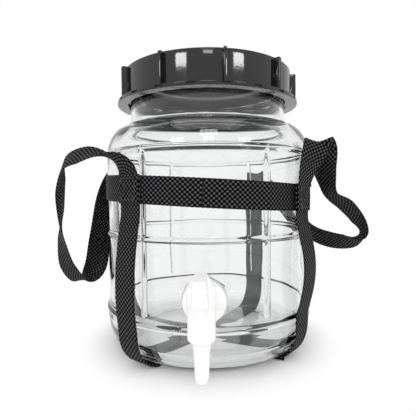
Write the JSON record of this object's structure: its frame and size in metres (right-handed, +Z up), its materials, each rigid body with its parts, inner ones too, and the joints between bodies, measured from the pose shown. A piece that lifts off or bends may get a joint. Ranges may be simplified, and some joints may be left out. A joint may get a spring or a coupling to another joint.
{
  "type": "glass jar with spigot and carrying harness",
  "caption": "Wide-mouth glass jar with a screw lid, a webbing harness with carrying loops, and a plastic spigot with a turning plug.",
  "frame": {"origin": "on the jar's axis, on the surface that the base straps rest on", "axes": "+Z up along the jar's axis, -Y towards the front, where the spigot is"},
  "size_m": [0.3428, 0.2993, 0.2871],
  "materials": {
    "jar_glass": "clear pressed glass",
    "lid_plastic": "glossy moulded",
    "liner_foam": "soft",
    "webbing": "woven polypropylene",
    "spigot_plastic": "moulded",
    "washer_rubber": "soft"
  },
  "bodies": {
    "jar": {"jar": "jar_glass", "belt": "webbing", "base_strap_a": "webbing", "base_strap_b": "webbing", "handle_left": "webbing", "handle_right": "webbing", "spigot_body": "spigot_plastic", "spigot_washer_outer": "washer_rubber", "spigot_washer_inner": "washer_rubber", "spigot_nut": "spigot_plastic"},
    "liner": {"lid_liner": "liner_foam"},
    "lid": {"lid": "lid_plastic"},
    "plug": {"spigot_plug": "spigot_plastic"}
  },
  "joints": [
    {"name": "lid_rise", "type": "slide", "parent": "jar", "child": "liner", "axis": [0, 0, 1], "range_m": [0, 0.01]},
    {"name": "lid_turn", "type": "hinge", "parent": "liner", "child": "lid", "pos_m": [0, 0, 0.27], "axis": [0, 0, 1], "range_deg": [0, 450]},
    {"name": "lever_turn", "type": "hinge", "parent": "jar", "child": "plug", "pos_m": [0, -0.15875, 0.0695], "axis": [0, 0, 1], "range_deg": [-90, 90]}
  ],
  "couplings": [
    {"joint": "lid_rise", "follows": "lid_turn", "m_per_rad": 0.0012732}
  ]
}
